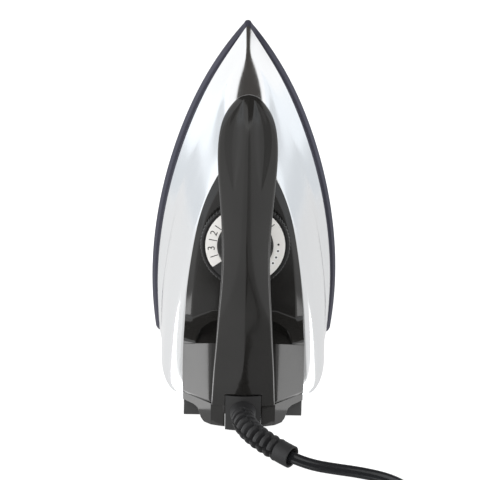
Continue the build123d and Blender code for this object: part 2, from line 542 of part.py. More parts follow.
# ---------------------------------------------------------------- assembly
def fasteners():
    studs = [rod(*FRONT_STUD, 6.0, FRONT_STUD_TOP, STUD_R)]
    studs += [rod(x, y, 6.0, DECK_Z + 5.4, STUD_R) for x, y in REAR_STUDS]
    write("tie_studs", *studs)
    nut = extrude(RegularPolygon(4.5, 6), 4.0)
    bore = rod(0, 0, -1, 5, STUD_R)
    write("tie_nuts", *[Pos(x, y, DECK_Z) * (nut - bore) for x, y in REAR_STUDS])
    write("handle_screws", *[rod(x, y, SEAT_Z - WALL, HANDLE_SCREW_TOP, HANDLE_SCREW_R)
                             + rod(x, y, SEAT_Z - WALL - 2.4, SEAT_Z - WALL, 3.4) for x, y in HANDLE_SCREWS])
    screws = []
    for side in (-1, 1):
        x = side * COVER_SCREW_X
        shank = rod_y(x, COVER_SCREW_Z, COVER_BACK_Y + WALL, 23.0, 1.5)
        screws.append(shank + rod_y(x, COVER_SCREW_Z, COVER_BACK_Y + 0.4, COVER_BACK_Y + WALL, 3.0))
    write("rear_cover_screws", *screws)


def build():
    os.makedirs("parts", exist_ok=True)
    sheath = heating_element()
    write("heating_element", sheath)
    write("soleplate", soleplate(sheath))
    write("heat_shield", heat_shield())
    write("shell", shell())
    write("saddle", saddle())
    thermostat()
    dial()
    upper, lower = handle()
    write("handle_upper", upper)
    write("handle_lower", lower)
    write("rear_cover", rear_cover())
    write("heel_feet", *heel_feet())
    write("cord_inlet_block", cord_inlet_block())
    wiring()
    fasteners()
    cord()
    print(len(MADE), "nodes")


build()
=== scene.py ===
import math

import bmesh
import bpy
import numpy as np
from mathutils import Matrix, Vector


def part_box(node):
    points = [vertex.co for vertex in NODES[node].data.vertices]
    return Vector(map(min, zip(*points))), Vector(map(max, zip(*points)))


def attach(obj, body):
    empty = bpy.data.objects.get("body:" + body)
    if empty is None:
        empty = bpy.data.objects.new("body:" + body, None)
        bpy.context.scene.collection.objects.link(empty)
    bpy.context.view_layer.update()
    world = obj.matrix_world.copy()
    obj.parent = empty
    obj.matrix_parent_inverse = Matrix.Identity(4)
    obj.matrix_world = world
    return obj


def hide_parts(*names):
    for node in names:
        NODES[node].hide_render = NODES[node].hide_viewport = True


# A dry clothes iron standing on its heel rest: looks only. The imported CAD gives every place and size.
#
# Shapes are described as in the CAD source, in the ironing frame and in millimetres: X across, Y from
# the heel plane to the tip, Z up from the ironing face. stood() turns such a point into the row frame,
# in metres. The cord's route is in the row frame, in metres.

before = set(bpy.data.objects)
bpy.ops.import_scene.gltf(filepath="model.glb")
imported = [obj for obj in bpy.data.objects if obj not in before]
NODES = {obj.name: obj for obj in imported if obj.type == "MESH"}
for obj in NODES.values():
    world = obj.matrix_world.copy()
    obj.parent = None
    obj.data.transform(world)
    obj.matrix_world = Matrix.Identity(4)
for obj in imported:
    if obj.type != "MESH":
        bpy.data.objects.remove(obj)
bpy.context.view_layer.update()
MM = 0.001
SOLE_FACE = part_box("soleplate")[1].y

# ---------------------------------------------------------------- sizes, ironing frame, millimetres
RIM_Z = 9.5
CREASE_Z = 17.0
SHOULDER_Z = 38.0
DECK_Z = 46.0
PLATEAU_Z = 50.0
SEAT_Z = 73.0
PARTING_Y = 13.6
DIAL_Y = 99.7
DIAL_TOP_Z = 54.4
SHELL_FOOT = dict(tip=212.6, nose=(1.7, 210.9), rear=27.0, corner=5.0,
                  flank=[(20.9, 179.8), (37.8, 138.1), (47.5, 95.4), (50.0, 58.9), (48.5, 32.0)])
CREASE = dict(tip=202.5, nose=(1.7, 200.6), rear=20.0, corner=7.0,
              flank=[(19.9, 167.0), (33.9, 132.3), (43.3, 91.0), (47.2, 55.0), (46.6, 27.0)])
SHOULDER = dict(tip=178.0, nose=(8.0, 173.0), rear=7.0, corner=9.0,
                flank=[(15.0, 156.0), (24.8, 130.0), (35.6, 92.0), (41.6, 55.0), (44.6, 16.0)])
SADDLE_EDGE = dict(tip=166.5, nose=(4.6, 163.2), rear=7.0, corner=3.0,
                   flank=[(9.6, 150.0), (18.8, 131.0), (29.4, 92.0), (33.3, 56.0), (33.8, 10.0)])
PLATEAU = dict(tip=161.0, nose=(3.4, 158.0), rear=7.0, corner=3.0,
               flank=[(6.8, 146.0), (15.6, 128.0), (26.2, 92.0), (28.6, 56.0), (29.4, 10.0)])
# y, half width, top z, crown above the seam, underside z
HANDLE_STATIONS = [
    (13.6, 17.5, 76.4, 2.6, 73.0), (22.0, 17.2, 80.0, 4.0, 73.0), (34.0, 16.7, 85.5, 4.8, 73.0),
    (47.0, 15.9, 91.4, 5.6, 74.4), (60.0, 15.1, 96.4, 6.4, 77.6), (75.0, 14.2, 101.2, 7.2, 80.8),
    (92.0, 13.1, 105.6, 7.8, 83.6), (110.0, 12.6, 109.3, 8.2, 86.0), (128.0, 13.1, 112.2, 8.5, 88.6),
    (146.0, 14.3, 114.5, 8.8, 91.6), (162.0, 15.3, 115.7, 9.0, 95.0), (176.0, 14.8, 116.0, 8.6, 98.6),
    (187.7, 11.7, 115.1, 6.8, 102.4), (194.1, 7.4, 113.4, 4.6, 105.8), (197.2, 3.9, 111.8, 2.6, 108.2),
    (198.2, 0.9, 110.6, 1.2, 108.9),
]
PILLAR_FOOT = (148.0, 4.6, 9.0)
PILLAR_HEAD = (175.0, 8.0, 11.0)
PILLAR_HEAD_Z = 103.0
BLOCK_HALF = 9.8
BLOCK_TOP_Y = 20.8

# ---------------------------------------------------------------- the cord, row frame, metres
CORD_WIDTH = 0.0062
CORD_R = CORD_WIDTH / 2
LOBE_R = 0.00165
WEB_HALF = 0.00125           # half the height of the web between the two cores
BOOT_ROUTE = [(0.0, -0.0220, 0.0110), (0.0, -0.0330, 0.0110), (0.0044, -0.0446, 0.0102),
              (0.0114, -0.0543, 0.0088)]
CORD_ROUTE = [(0.0194, -0.0624, 0.0074), (0.0268, -0.0691, 0.0062), (0.0368, -0.0738, 0.0047),
              (0.0482, -0.0754, 0.0035), (0.0600, -0.0780, 0.0031), (0.0718, -0.0834, 0.0031),
              (0.0791, -0.0895, 0.0031), (0.0843, -0.0975, 0.0031), (0.0869, -0.1066, 0.0031),
              (0.0880, -0.1173, 0.0031), (0.0880, -0.1317, 0.0031)]
COIL_CENTRE = (0.0444, -0.1567)
COIL_OUTER_R = 0.0436
COIL_INNER_R = 0.0255
COIL_TURN_POINTS = 16
COIL_TURNS_DOWN = 3.5        # spiral in, on the floor
COIL_TURNS_STEP = 0.5        # climb to the second layer
COIL_TURNS_UP = 4.25         # spiral out, on the first layer
PLUG_START_X = 0.018
TAIL_X = (0.036, 0.027, PLUG_START_X - 0.003)
COLLAR_LENGTH = 0.0084


# ---------------------------------------------------------------- mesh helpers
def stood(x, y, z):
    """Ironing frame, millimetres, to the row frame, metres."""
    return Vector((x * MM, SOLE_FACE - z * MM, y * MM))


def smooth_through(points, count):
    """count points along the natural cubic spline through the given ones, evenly in chord length."""
    p = np.array(points, float)
    steps = np.linalg.norm(np.diff(p, axis=0), axis=1)
    knots = np.concatenate([[0.0], np.cumsum(steps)])
    n = len(p)
    matrix = np.zeros((n, n))
    rhs = np.zeros_like(p)
    matrix[0, 0] = matrix[-1, -1] = 1.0
    for i in range(1, n - 1):
        before, after = steps[i - 1], steps[i]
        matrix[i, i - 1:i + 2] = before, 2 * (before + after), after
        rhs[i] = 6 * ((p[i + 1] - p[i]) / after - (p[i] - p[i - 1]) / before)
    bend = np.linalg.solve(matrix, rhs)
    at = np.linspace(0.0, knots[-1], count)
    seg = np.clip(np.searchsorted(knots, at, side="right") - 1, 0, n - 2)
    run = steps[seg][:, None]
    a = ((knots[seg + 1] - at)[:, None]) / run
    b = 1.0 - a
    return (a * p[seg] + b * p[seg + 1]
            + ((a ** 3 - a) * bend[seg] + (b ** 3 - b) * bend[seg + 1]) * run ** 2 / 6)


def plan_outline(plan, flank_count=72, rear_count=14):
    """Closed outline (x, y) of a shield-shaped plan, from the tip round the right side and back."""
    side = plan["flank"][-1][0]
    rear, corner = plan["rear"], plan["corner"]
    flank = plan["flank"][:-1] + [(side, rear + corner)]
    nose_x, nose_y = plan["nose"]
    through = ([(-x, y) for x, y in reversed(flank)] + [(-nose_x, nose_y), (0.0, plan["tip"]),
               (nose_x, nose_y)] + flank)
    dense = smooth_through(through, 4 * flank_count + 1)[2 * flank_count:]
    run = np.concatenate([[0.0], np.cumsum(np.linalg.norm(np.diff(dense, axis=0), axis=1))])
    # Closer together near the tip, where the outline bends most.
    share = np.linspace(0.0, 1.0, flank_count) ** 1.5
    right = np.stack([np.interp(share * run[-1], run, dense[:, k]) for k in (0, 1)], axis=1)
    turn = np.linspace(0.0, math.pi / 2, 9)[1:]
    bend = [(side - corner + corner * math.cos(t), rear + corner - corner * math.sin(t)) for t in turn]
    back = [(x, rear) for x in np.linspace(side - corner, 0.0, rear_count)[1:]]
    half = np.vstack([right, bend, back])
    left = half[1:-1][::-1] * [-1, 1]
    return np.vstack([half, left])


def mesh_object(name, vertices, faces, sharp=None):
    """A mesh piece from vertices in the row frame, shaded smooth except across edges sharper than
    the given angle in degrees."""
    mesh = bpy.data.meshes.new(name)
    mesh.from_pydata([tuple(v) for v in vertices], [], faces)
    shape = bmesh.new()
    shape.from_mesh(mesh)
    bmesh.ops.remove_doubles(shape, verts=shape.verts, dist=1e-6)
    bmesh.ops.dissolve_degenerate(shape, edges=shape.edges, dist=1e-7)
    bmesh.ops.recalc_face_normals(shape, faces=shape.faces)
    for face in shape.faces:
        face.smooth = True
    if sharp is not None:
        limit = math.radians(sharp)
        for edge in shape.edges:
            edge.smooth = not (edge.is_manifold and edge.calc_face_angle(0.0) > limit)
    shape.to_mesh(mesh)
    shape.free()
    obj = bpy.data.objects.new(name, mesh)
    bpy.context.scene.collection.objects.link(obj)
    return obj


def grid_faces(rows, columns, wrap=False, first=0):
    """Quads of a grid of rows of points; wrap joins each row's end to its start."""
    faces = []
    for r in range(rows - 1):
        for c in range(columns if wrap else columns - 1):
            a, b = r * columns + c, r * columns + (c + 1) % columns
            faces.append((first + a, first + b, first + b + columns, first + a + columns))
    return faces


def lofted(name, rows, wrap=True, caps=(True, True), sharp=None):
    """A skin over rows of points in the row frame; each cap closes that end with one face."""
    columns = len(rows[0])
    vertices = [v for row in rows for v in row]
    faces = grid_faces(len(rows), columns, wrap)
    if caps[0]:
        faces.append(tuple(range(columns)))
    if caps[1]:
        faces.append(tuple(range((len(rows) - 1) * columns, len(rows) * columns)))
    return mesh_object(name, vertices, faces, sharp)


def joined(name, objects):
    """Several mesh pieces made into one."""
    target = objects[0]
    with bpy.context.temp_override(active_object=target, selected_editable_objects=objects):
        bpy.ops.object.join()
    target.name = name
    target.data.name = name
    return target


def applied(obj):
    """Makes the modifiers' result the piece's own mesh."""
    graph = bpy.context.evaluated_depsgraph_get()
    mesh = bpy.data.meshes.new_from_object(obj.evaluated_get(graph))
    obj.modifiers.clear()
    obj.data = mesh
    return obj


def box_piece(name, x0, x1, y0, y1, z0, z1):
    """A box given in the ironing frame, used to cut other pieces."""
    corners = [stood(x, y, z) for z in (z0, z1) for x, y in ((x0, y0), (x1, y0), (x1, y1), (x0, y1))]
    return lofted(name, [corners[:4], corners[4:]])


def cut(obj, *cutters):
    """Takes the cutters out of the piece and removes them."""
    for cutter in cutters:
        cutting = obj.modifiers.new("cut", "BOOLEAN")
        cutting.operation = "DIFFERENCE"
        cutting.solver = "EXACT"
        cutting.object = cutter
    applied(obj)
    for cutter in cutters:
        bpy.data.objects.remove(cutter)
    return obj


def rounded(obj, width, segments=3, angle=32.0):
    """Rounds the piece's sharp edges a little, as a mould does."""
    bevel = obj.modifiers.new("edge_radius", "BEVEL")
    bevel.width = width * MM
    bevel.segments = segments
    bevel.limit_method = "ANGLE"
    bevel.angle_limit = math.radians(angle)
    bevel.harden_normals = True
    return obj


def place(obj, body, slot, material, *nodes):
    """The piece rides on a body, takes a finish and stands for the CAD nodes."""
    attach(obj, body)
    obj.data.materials.clear()
    obj.data.materials.append(material)
    if nodes:
        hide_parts(*nodes)
    return obj


# ---------------------------------------------------------------- materials
def noise(tree, scale, detail=3.0, stretch=(1.0, 1.0, 1.0), distortion=0.0):
    """Noise in the object's own coordinates, in metres; stretch makes it finer along an axis."""
    coords = tree.nodes.new("ShaderNodeTexCoord")
    mapping = tree.nodes.new("ShaderNodeMapping")
    mapping.inputs["Scale"].default_value = stretch
    texture = tree.nodes.new("ShaderNodeTexNoise")
    texture.inputs["Scale"].default_value = scale
    texture.inputs["Detail"].default_value = detail
    texture.inputs["Distortion"].default_value = distortion
    tree.links.new(coords.outputs["Object"], mapping.inputs["Vector"])
    tree.links.new(mapping.outputs["Vector"], texture.inputs["Vector"])
    return texture.outputs["Fac"]


def spread(tree, value, low, high):
    """Maps noise of about 0.3 to 0.7 on to low to high."""
    ranged = tree.nodes.new("ShaderNodeMapRange")
    ranged.inputs["From Min"].default_value = 0.3
    ranged.inputs["From Max"].default_value = 0.7
    ranged.inputs["To Min"].default_value = low
    ranged.inputs["To Max"].default_value = high
    tree.links.new(value, ranged.inputs["Value"])
    return ranged.outputs["Result"]


def two_tone(tree, factor, dark, light):
    """Colour between two tones."""
    mix = tree.nodes.new("ShaderNodeMix")
    mix.data_type = "RGBA"
    mix.inputs["A"].default_value = (*dark, 1.0)
    mix.inputs["B"].default_value = (*light, 1.0)
    tree.links.new(factor, mix.inputs["Factor"])
    return mix.outputs["Result"]


def finish(name, colour, rough, metal=0.0, ior=1.5, coat=0.0, vary=0.12, rough_vary=0.04,
           grain=(900.0, 0.05, 0.00005), stretch=(1.0, 1.0, 1.0), tone_scale=28.0, sheen=0.0):
    """A moulded, metal or printed finish: drifting tone, uneven gloss and a fine grain.
    grain is (scale per metre, strength, height in metres)."""
    material = bpy.data.materials.new(name)
    material.use_nodes = True
    tree = material.node_tree
    shader = tree.nodes["Principled BSDF"]
    shader.inputs["Metallic"].default_value = metal
    shader.inputs["IOR"].default_value = ior
    shader.inputs["Coat Weight"].default_value = coat
    shader.inputs["Coat Roughness"].default_value = 0.03
    shader.inputs["Sheen Weight"].default_value = sheen
    tone = noise(tree, tone_scale, stretch=stretch)
    dark = [c * (1.0 - vary) for c in colour]
    light = [min(1.0, c * (1.0 + vary)) for c in colour]
    tree.links.new(two_tone(tree, spread(tree, tone, 0.0, 1.0), dark, light), shader.inputs["Base Color"])
    gloss = noise(tree, tone_scale * 5.0, detail=4.0, stretch=stretch)
    tree.links.new(spread(tree, gloss, max(0.0, rough - rough_vary), rough + rough_vary),
                   shader.inputs["Roughness"])
    scale, strength, height = grain
    bump = tree.nodes.new("ShaderNodeBump")
    bump.inputs["Strength"].default_value = strength
    bump.inputs["Distance"].default_value = height
    tree.links.new(noise(tree, scale, stretch=stretch), bump.inputs["Height"])
    tree.links.new(bump.outputs["Normal"], shader.inputs["Normal"])
    return material


CHROME = finish("satin_chrome", (0.86, 0.87, 0.88), 0.16, metal=1.0, vary=0.02, rough_vary=0.03,
                grain=(2600.0, 0.12, 0.00003), stretch=(1.0, 1.0, 0.12))
GLOSS_BLACK = finish("black_gloss_plastic", (0.012, 0.0115, 0.0108), 0.14, ior=1.5, vary=0.15,
                     rough_vary=0.02, grain=(700.0, 0.05, 0.00002))
SATIN_BLACK = finish("black_satin_plastic", (0.016, 0.016, 0.016), 0.42, vary=0.15, rough_vary=0.06,
                     grain=(2200.0, 0.35, 0.00004))
DIAL_BLACK = finish("dial_plastic", (0.014, 0.014, 0.014), 0.22, vary=0.15, rough_vary=0.04,
                    grain=(1500.0, 0.12, 0.00003))
BOOT_RUBBER = finish("black_rubber", (0.020, 0.020, 0.021), 0.55, vary=0.18, rough_vary=0.08,
                     grain=(1800.0, 0.45, 0.00005))
CORD_PVC = finish("cord_pvc", (0.011, 0.0115, 0.013), 0.20, vary=0.15, rough_vary=0.05,
                  grain=(900.0, 0.15, 0.00004))
BLADE_METAL = finish("nickel_plated", (0.80, 0.79, 0.76), 0.22, metal=1.0, vary=0.03,
                     grain=(1500.0, 0.15, 0.00003), stretch=(0.15, 1.0, 1.0))
SOLE_COAT = finish("non_stick_coating", (0.055, 0.055, 0.075), 0.34, metal=0.35, vary=0.10,
                   rough_vary=0.05, grain=(3200.0, 0.3, 0.00004))
STEEL = finish("zinc_plated_steel", (0.56, 0.56, 0.54), 0.34, metal=1.0, vary=0.08,
               grain=(1200.0, 0.2, 0.00003))
BRASS = finish("brass", (0.72, 0.52, 0.24), 0.28, metal=1.0, vary=0.06, grain=(1200.0, 0.15, 0.00003))
CERAMIC = finish("ceramic", (0.78, 0.74, 0.66), 0.5, vary=0.06, grain=(1600.0, 0.3, 0.00005))
SHEATH = finish("element_sheath", (0.30, 0.29, 0.28), 0.45, metal=0.8, vary=0.2,
                grain=(1400.0, 0.3, 0.00004))
SLEEVE = finish("glass_sleeve", (0.74, 0.70, 0.62), 0.8, vary=0.08, grain=(2400.0, 0.6, 0.0001), sheen=0.3)
FELT = finish("felt", (0.10, 0.10, 0.10), 0.95, vary=0.25, grain=(2600.0, 0.8, 0.0002), sheen=0.4)
SILVER_PRINT = finish("silver_print", (0.80, 0.785, 0.755), 0.42, metal=0.25, vary=0.05, rough_vary=0.06,
                      grain=(4200.0, 0.35, 0.00003))
INK_BLACK = finish("dial_ink", (0.015, 0.015, 0.015), 0.4, grain=(1500.0, 0.1, 0.00002))
INK_WHITE = finish("dial_white", (0.85, 0.85, 0.84), 0.4, vary=0.03, grain=(1500.0, 0.1, 0.00002))


# ---------------------------------------------------------------- camera
CAMERA_ELEVATION = 18.4
CAMERA_AZIMUTH = -0.6        # degrees, towards -X
CAMERA_DISTANCE = 1.0
LOOK_AT = Vector((0.0, 0.013, 0.0998))
CAMERA_ROLL = 0.95
CAMERA_LENS = 135.6          # on a sensor 36 mm wide
CAMERA_SHIFT_X = -0.0108


def camera():
    """A long lens in front of the heel rest, a little above the handle."""
    data = bpy.data.cameras.new("camera")
    data.sensor_width = 36.0
    data.lens = CAMERA_LENS
    data.shift_x = CAMERA_SHIFT_X
    data.clip_end = 20.0
    obj = bpy.data.objects.new("camera", data)
    bpy.context.scene.collection.objects.link(obj)
    tilt = math.radians(CAMERA_ELEVATION)
    swing = math.radians(CAMERA_AZIMUTH)
    back = Vector((math.cos(tilt) * math.sin(swing), -math.cos(tilt) * math.cos(swing), math.sin(tilt)))
    obj.location = LOOK_AT + back * CAMERA_DISTANCE
    aim = (-back).to_track_quat("-Z", "Y").to_matrix()
    obj.rotation_mode = "QUATERNION"
    obj.rotation_quaternion = (aim @ Matrix.Rotation(math.radians(CAMERA_ROLL), 3, "Z")).to_quaternion()
    bpy.context.scene.camera = obj


camera()


# ---------------------------------------------------------------- cord
def coil_points():
    """Clockwise from above: in on the floor, up at the inside, and out over the first layer."""
    cx, cy = COIL_CENTRE
    total = COIL_TURNS_DOWN + COIL_TURNS_STEP + COIL_TURNS_UP
    count = round(total * COIL_TURN_POINTS)
    points = []
    for i in range(1, count + 1):
        turn = total * i / count
        inward = min(1.0, turn / COIL_TURNS_DOWN)
        outward = max(0.0, (turn - COIL_TURNS_DOWN - COIL_TURNS_STEP) / COIL_TURNS_UP)
        radius = COIL_OUTER_R - (COIL_OUTER_R - COIL_INNER_R) * (inward - outward)
        climb = min(1.0, max(0.0, (turn - COIL_TURNS_DOWN) / COIL_TURNS_STEP))
        height = CORD_R + CORD_WIDTH * (3 * climb ** 2 - 2 * climb ** 3)
        angle = -2 * math.pi * turn
        points.append((cx + radius * math.cos(angle), cy + radius * math.sin(angle), height))
    return points


def tail_points():
    """From the outer turn straight into the plug's neck."""
    tail_y = COIL_CENTRE[1] - COIL_OUTER_R
    height = CORD_R + CORD_WIDTH
    return [(x, tail_y, height) for x in TAIL_X]


def nurbs_curve(name, points, tilts):
    """The points have the cord's own radius, so that the curve's box in Blender is the cord's size."""
    data = bpy.data.curves.new(name, "CURVE")
    data.dimensions = "3D"
    data.twist_mode = "Z_UP"
    data.resolution_u = 6
    spline = data.splines.new("NURBS")
    spline.points.add(len(points) - 1)
    for point, place_at, tilt in zip(spline.points, points, tilts):
        point.co = (*place_at, 1.0)
        point.tilt = tilt
        point.radius = CORD_R
    spline.order_u = 3
    spline.use_endpoint_u = True
    obj = bpy.data.objects.new(name, data)
    bpy.context.scene.collection.objects.link(obj)
    return obj


def centre_line(curve):
    """The curve's own line as points, read before it is given a section."""
    graph = bpy.context.evaluated_depsgraph_get()
    mesh = bpy.data.meshes.new_from_object(curve.evaluated_get(graph))
    line = np.array([v.co for v in mesh.vertices])
    bpy.data.meshes.remove(mesh)
    return line


def twin_profile():
    """Section of a flat twin cord, in cord radii: two cores side by side with a groove between them."""
    data = bpy.data.curves.new("twin_profile", "CURVE")
    data.dimensions = "2D"
    spline = data.splines.new("POLY")
    reach = CORD_R - LOBE_R
    open_angle = math.asin(WEB_HALF / LOBE_R)
    steps = 14
    outline = []
    for side in (1, -1):
        for i in range(steps + 1):
            angle = -(math.pi - open_angle) + 2 * (math.pi - open_angle) * i / steps
            outline.append((side * (reach + LOBE_R * math.cos(angle)), side * LOBE_R * math.sin(angle)))
    spline.points.add(len(outline) - 1)
    for point, (x, y) in zip(spline.points, outline):
        point.co = (x / CORD_R, y / CORD_R, 0.0, 1.0)
    spline.use_cyclic_u = True
    obj = bpy.data.objects.new("twin_profile", data)
    bpy.context.scene.collection.objects.link(obj)
    obj.hide_render = True
    obj.hide_viewport = True
    return obj


LEAN = math.radians(50.0)    # the flat cord's tilt where it leaves the boot
ON_EDGE = math.radians(90.0)
TURN_POINTS = 5              # it turns on edge over this many of the route's points


def power_cord():
    """The whole lead as one spline: from the inlet block through the boot, round the coil, to the plug."""
    seen = BOOT_ROUTE + CORD_ROUTE
    points = seen + coil_points() + tail_points()
    tilts = []
    for i in range(len(points)):
        along = min(1.0, max(0.0, (i - len(seen) + TURN_POINTS) / TURN_POINTS))
        tilts.append(LEAN + (ON_EDGE - LEAN) * along)
    obj = nurbs_curve("power_cord_twin", points, tilts)
    line = centre_line(obj)
    obj.data.bevel_mode = "OBJECT"
    obj.data.bevel_object = twin_profile()
    obj.data.use_fill_caps = True
    place(obj, "body", "cord_black", CORD_PVC, "power_cord", "cord_coil")
    return obj, line


cord_piece, cord_line = power_cord()

# ---------------------------------------------------------------- strain relief boot
BOOT_LENGTH = 0.0548
BOOT_PITCH = 0.0050
BOOT_OUTER_R = 0.0064
BOOT_CORE_R = 0.0028
BOOT_BORE_R = 0.0049
BOOT_FLARE_R = 0.0071
BOOT_SIDES = 96
BOOT_ROWS = 240
SLOTS_FROM, SLOTS_TO = 0.0055, BOOT_LENGTH - COLLAR_LENGTH
SLOT_HALF, SLOT_BLUR = 0.0009, 0.0004
SLOT_REACH, SLOT_REACH_BLUR = 0.60, 0.10   # how far round a slot goes, as the cosine from its middle
SLOT_FACING = math.radians(45.0)
RIB_RISE = 0.00018
TANGENT_STEP = 0.0015


def smooth_step(value):
    """0 below 0, 1 above 1 and an S-curve between."""
    value = np.clip(value, 0.0, 1.0)
    return value * value * (3.0 - 2.0 * value)


def frames_along(line, distances):
    """Places and cross directions along a line at given distances; the first cross direction is level."""
    steps = np.linalg.norm(np.diff(line, axis=0), axis=1)
    run = np.concatenate([[0.0], np.cumsum(steps)])
    at = np.stack([np.interp(distances, run, line[:, k]) for k in range(3)], axis=1)
    ahead = np.stack([np.interp(distances + TANGENT_STEP, run, line[:, k]) for k in range(3)], axis=1)
    behind = np.stack([np.interp(distances - TANGENT_STEP, run, line[:, k]) for k in range(3)], axis=1)
    tangent = ahead - behind
    tangent /= np.linalg.norm(tangent, axis=1)[:, None]
    level = np.cross(tangent, (0.0, 0.0, 1.0))
    level /= np.linalg.norm(level, axis=1)[:, None]
    return at, tangent, level, np.cross(level, tangent)


def strain_relief():
    """Rings joined by bridges that alternate from side to side, a flared root and an open collar."""
    distances = np.linspace(0.0, BOOT_LENGTH, BOOT_ROWS)
    at, _, level, upright = frames_along(cord_line, distances)
    angle = np.linspace(0.0, 2 * math.pi, BOOT_SIDES, endpoint=False)
    rows = []
    for k, s in enumerate(distances):
        root = 1.0 - smooth_step(s / 0.005)
        taper = 1.0 - 0.05 * smooth_step((s - 0.004) / (SLOTS_TO - 0.004))
        radius = BOOT_OUTER_R * taper + (BOOT_FLARE_R - BOOT_OUTER_R) * root + np.zeros(BOOT_SIDES)
        if SLOTS_FROM < s < SLOTS_TO:
            depth = np.zeros(BOOT_SIDES)
            for phase, side in ((0.0, 0.0), (0.5, math.pi / 2)):
                along = (s - SLOTS_FROM) / BOOT_PITCH + phase
                off = abs(along - round(along)) * BOOT_PITCH
                slot_shape = 1.0 - smooth_step((off - SLOT_HALF) / SLOT_BLUR)
                facing = np.abs(np.cos(angle - SLOT_FACING - side))
                reach = smooth_step((facing - SLOT_REACH) / SLOT_REACH_BLUR)
                depth = np.maximum(depth, slot_shape * reach)
            ends = smooth_step((s - SLOTS_FROM) / 0.001) * smooth_step((SLOTS_TO - s) / 0.001)
            radius = radius - (radius - BOOT_CORE_R) * depth * ends
            between = (s - SLOTS_FROM) / BOOT_PITCH * 2.0
            radius = radius + RIB_RISE * math.cos(2 * math.pi * between) * ends
        rows.append([at[k] + r * (math.cos(a) * level[k] + math.sin(a) * upright[k])
                     for r, a in zip(radius, angle)])
    end, cross_a, cross_b = at[-1], level[-1], upright[-1]
    inside, _, in_a, in_b = frames_along(cord_line, distances[-1:] - COLLAR_LENGTH)
    lip = BOOT_OUTER_R * 0.95
    for radius in (lip - 0.0003, lip - 0.0008, BOOT_BORE_R + 0.0002, BOOT_BORE_R):
        ahead = 0.0004 * math.sin(math.pi * (lip - radius) / (lip - BOOT_BORE_R))
        centre = end + np.cross(cross_a, cross_b) * -ahead
        rows.append([centre + radius * (math.cos(a) * cross_a + math.sin(a) * cross_b) for a in angle])
    for radius in (BOOT_BORE_R, BOOT_CORE_R - 0.0008):
        rows.append([inside[-1] + radius * (math.cos(a) * in_a[-1] + math.sin(a) * in_b[-1])
                     for a in angle])
    obj = lofted("strain_relief_boot", rows, caps=(True, True), sharp=50.0)
    return place(obj, "body", "black_rubber", BOOT_RUBBER, "cord_boot")


boot_piece = strain_relief()

# ---------------------------------------------------------------- shell
FLANK_STEPS = 22
DECK_FLANGE = 9.0
BAND_STEPS = 5
FOOT_TURN_IN = 1.0
SHEET_WALL = 0.9


def ring_at(outline, z):
    """An outline at one height, as points in the row frame."""
    return [stood(x, y, z) for x, y in outline]


def shrunk(outline, inset):
    """An outline moved in by an inset towards its own middle line."""
    scale_x = 1.0 - inset / np.abs(outline[:, 0]).max()
    middle = outline[:, 1].min() + 40.0
    scale_y = 1.0 - 2.0 * inset / (outline[:, 1].max() - middle)
    return np.stack([outline[:, 0] * scale_x, middle + (outline[:, 1] - middle) * scale_y], axis=1)


def shell():
    """A pressed chrome cover: a plain band at its foot, then one crowned sweep up to the saddle."""
    foot, crease = plan_outline(SHELL_FOOT), plan_outline(CREASE)
    shoulder, edge = plan_outline(SHOULDER), plan_outline(SADDLE_EDGE)
    pull = 2 * shoulder - 0.5 * (crease + edge)
    pull_z = 2 * SHOULDER_Z - 0.5 * (CREASE_Z + DECK_Z)
    rows = [ring_at(shrunk(foot, FOOT_TURN_IN), RIM_Z), ring_at(foot, RIM_Z)]
    for k in range(1, BAND_STEPS):
        share = k / BAND_STEPS
        rows.append(ring_at(foot + (crease - foot) * share, RIM_Z + (CREASE_Z - RIM_Z) * share))
    for k in range(FLANK_STEPS + 1):
        t = k / FLANK_STEPS
        a, b, c = (1 - t) ** 2, 2 * t * (1 - t), t * t
        rows.append(ring_at(a * crease + b * pull + c * edge, a * CREASE_Z + b * pull_z + c * DECK_Z))
    rows.append(ring_at(shrunk(edge, DECK_FLANGE), DECK_Z))
    obj = lofted("shell_chrome", rows, caps=(False, False), sharp=60.0)
    wall = obj.modifiers.new("sheet", "SOLIDIFY")
    wall.thickness = SHEET_WALL * MM
    wall.offset = -1.0
    return place(obj, "body", "shell_chrome", CHROME, "shell")


shell()

# ---------------------------------------------------------------- saddle
COLUMN_END_Y = 49.3
SWEEP = 0.42                 # how far the shoulders' front edge falls back per millimetre outwards
RAMP = [(49.3, 73.0), (49.8, 67.5), (51.0, 61.0), (52.8, 56.2), (55.0, 53.0), (57.6, 51.2), (61.0, 50.0)]
NICHE = dict(x=12.0, y=49.4, half_x=15.0, half_y=9.4, floor=51.2, rise=4.6)
SHOULDER_OUT = (33.6, 57.2)
COLUMN_HALF = 17.7
SADDLE_WALL = 2.0
BLOCK_CLEARANCE = 0.25


def block_notch(z0, z1):
    """Cuts the place of the cord's inlet block out of a piece, with a little clearance."""
    gap = BLOCK_HALF + BLOCK_CLEARANCE
    return box_piece("notch", -gap, gap, 5.0, BLOCK_TOP_Y + BLOCK_CLEARANCE, z0, z1)


def soft_low(a, b, round_by):
    """The lower of two heights, rounded where they meet."""
    return 0.5 * (a + b - np.sqrt((a - b) ** 2 + round_by ** 2))


def half_width(outline, y):
    """Half width of a plan at y."""
    right = outline[outline[:, 0] >= 0.0]
    order = np.argsort(right[:, 1])
    return float(np.interp(y, right[order, 1], right[order, 0], left=right[order[0], 0], right=0.0))


